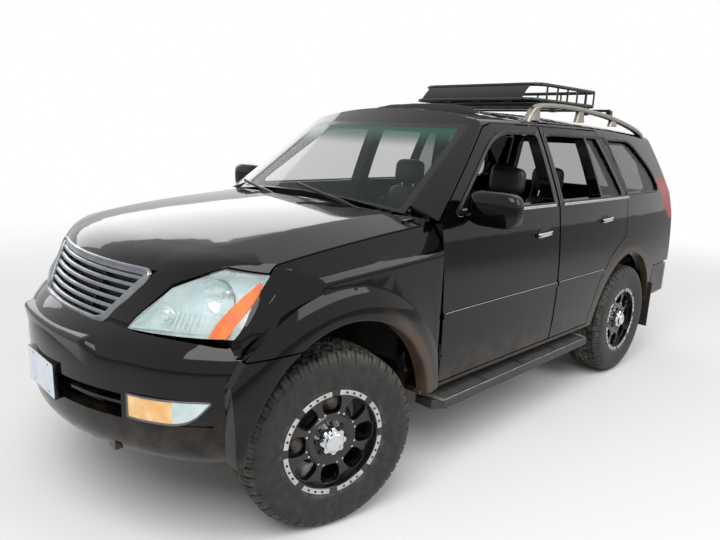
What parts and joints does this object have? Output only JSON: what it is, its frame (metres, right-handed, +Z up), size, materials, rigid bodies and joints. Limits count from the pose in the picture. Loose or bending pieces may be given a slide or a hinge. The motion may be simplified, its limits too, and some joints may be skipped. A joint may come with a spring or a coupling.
{
  "type": "lifted off-road 4x4",
  "caption": "Lifted off-road estate with steered front wheels, hinged doors, bonnet and tail door, running boards and a roof basket on rails.",
  "frame": {"origin": "on the ground under the middle of the car, halfway between its ends and its mirrors", "axes": "+Y towards the tail, +X towards the left-hand side, +Z up"},
  "size_m": [2.32, 4.778, 2.042],
  "materials": {
    "body_paint": "gloss",
    "chassis_paint": "satin",
    "bright_trim": "gloss",
    "dark_trim": "matte",
    "window_glass": "gloss",
    "clear_lens": "gloss",
    "red_lens": "gloss",
    "seat_leather": "satin",
    "tyre_rubber": "matte",
    "flap_rubber": "matte",
    "wheel_paint": "gloss",
    "cast_metal": "rough",
    "pipe_steel": "satin"
  },
  "bodies": {
    "body": {"body_side_left": "body_paint", "body_side_right": "body_paint", "bulkhead": "body_paint", "centre_console": "dark_trim", "cowl": "dark_trim", "dashboard": "dark_trim", "engine": "cast_metal", "exhaust": "pipe_steel", "floor_pan": "chassis_paint", "fog_lamps": "clear_lens", "front_bumper": "body_paint", "front_suspension": "cast_metal", "front_wing_left": "body_paint", "front_wing_right": "body_paint", "fuel_tank": "chassis_paint", "headlamp_left": "clear_lens", "headlamp_right": "clear_lens", "ladder_frame": "chassis_paint", "mud_flaps": "flap_rubber", "propshaft": "chassis_paint", "quarter_glasses": "window_glass", "radiator_support": "chassis_paint", "rear_axle": "cast_metal", "rear_bumper": "body_paint", "rear_springs_and_links": "chassis_paint", "roof_basket": "chassis_paint", "roof_panel": "body_paint", "roof_rails": "dark_trim", "running_boards": "dark_trim", "seat_rear": "seat_leather", "seats_front": "seat_leather", "spare_wheel": "tyre_rubber", "steering_wheel": "seat_leather", "tail_lamps": "red_lens", "wind_deflector": "dark_trim", "windscreen": "window_glass"},
    "bonnet": {"bonnet": "body_paint", "grille": "bright_trim"},
    "door_front_left": {"door_front_left": "body_paint", "mirror_left": "body_paint"},
    "door_front_right": {"door_front_right": "body_paint", "mirror_right": "body_paint"},
    "door_rear_left": {"door_rear_left": "body_paint", "door_rear_pane_left": "window_glass"},
    "door_rear_right": {"door_rear_right": "body_paint", "door_rear_pane_right": "window_glass"},
    "tail_door": {"tail_door": "body_paint", "tail_glass": "window_glass"},
    "knuckle_left": {"knuckle_left": "cast_metal"},
    "knuckle_right": {"knuckle_right": "cast_metal"},
    "wheel_front_left": {"tyre_front_left": "tyre_rubber", "rim_front_left": "wheel_paint"},
    "wheel_front_right": {"tyre_front_right": "tyre_rubber", "rim_front_right": "wheel_paint"},
    "wheel_rear_left": {"tyre_rear_left": "tyre_rubber", "rim_rear_left": "wheel_paint"},
    "wheel_rear_right": {"tyre_rear_right": "tyre_rubber", "rim_rear_right": "wheel_paint"}
  },
  "joints": [
    {"name": "steer_left", "type": "hinge", "parent": "body", "child": "knuckle_left", "pos_m": [0.69, -1.485, 0.401], "axis": [0, 0, 1], "range_deg": [-19, 47]},
    {"name": "steer_right", "type": "hinge", "parent": "body", "child": "knuckle_right", "pos_m": [-0.69, -1.485, 0.401], "axis": [0, 0, 1], "range_deg": [-19, 47]},
    {"name": "spin_front_left", "type": "hinge", "parent": "knuckle_left", "child": "wheel_front_left", "pos_m": [0.79188, -1.5104, 0.401], "axis": [0.9703, -0.2419, 0], "continuous": true},
    {"name": "spin_front_right", "type": "hinge", "parent": "knuckle_right", "child": "wheel_front_right", "pos_m": [-0.79188, -1.4596, 0.401], "axis": [0.9703, -0.2419, 0], "continuous": true},
    {"name": "spin_rear_left", "type": "hinge", "parent": "body", "child": "wheel_rear_left", "pos_m": [0.795, 1.305, 0.401], "axis": [1, 0, 0], "continuous": true},
    {"name": "spin_rear_right", "type": "hinge", "parent": "body", "child": "wheel_rear_right", "pos_m": [-0.795, 1.305, 0.401], "axis": [1, 0, 0], "continuous": true},
    {"name": "door_front_left_hinge", "type": "hinge", "parent": "body", "child": "door_front_left", "pos_m": [0.898, -0.848, 0.76], "axis": [0, 0, -1], "range_deg": [0, 65]},
    {"name": "door_front_right_hinge", "type": "hinge", "parent": "body", "child": "door_front_right", "pos_m": [-0.898, -0.848, 0.76], "axis": [0, 0, 1], "range_deg": [0, 65]},
    {"name": "door_rear_left_hinge", "type": "hinge", "parent": "body", "child": "door_rear_left", "pos_m": [0.898, 0.279, 0.76], "axis": [0, 0, -1], "range_deg": [0, 65]},
    {"name": "door_rear_right_hinge", "type": "hinge", "parent": "body", "child": "door_rear_right", "pos_m": [-0.898, 0.279, 0.76], "axis": [0, 0, 1], "range_deg": [0, 65]},
    {"name": "tail_door_hinge", "type": "hinge", "parent": "body", "child": "tail_door", "pos_m": [-0.738, 2.302, 0.9], "axis": [0, 0, 1], "range_deg": [0, 90]},
    {"name": "bonnet_hinge", "type": "hinge", "parent": "body", "child": "bonnet", "pos_m": [0, -0.935, 1.274], "axis": [-1, 0, 0], "range_deg": [0, 50]}
  ],
  "couplings": [
    {"joint": "steer_right", "follows": "steer_left", "ratio": 1}
  ]
}
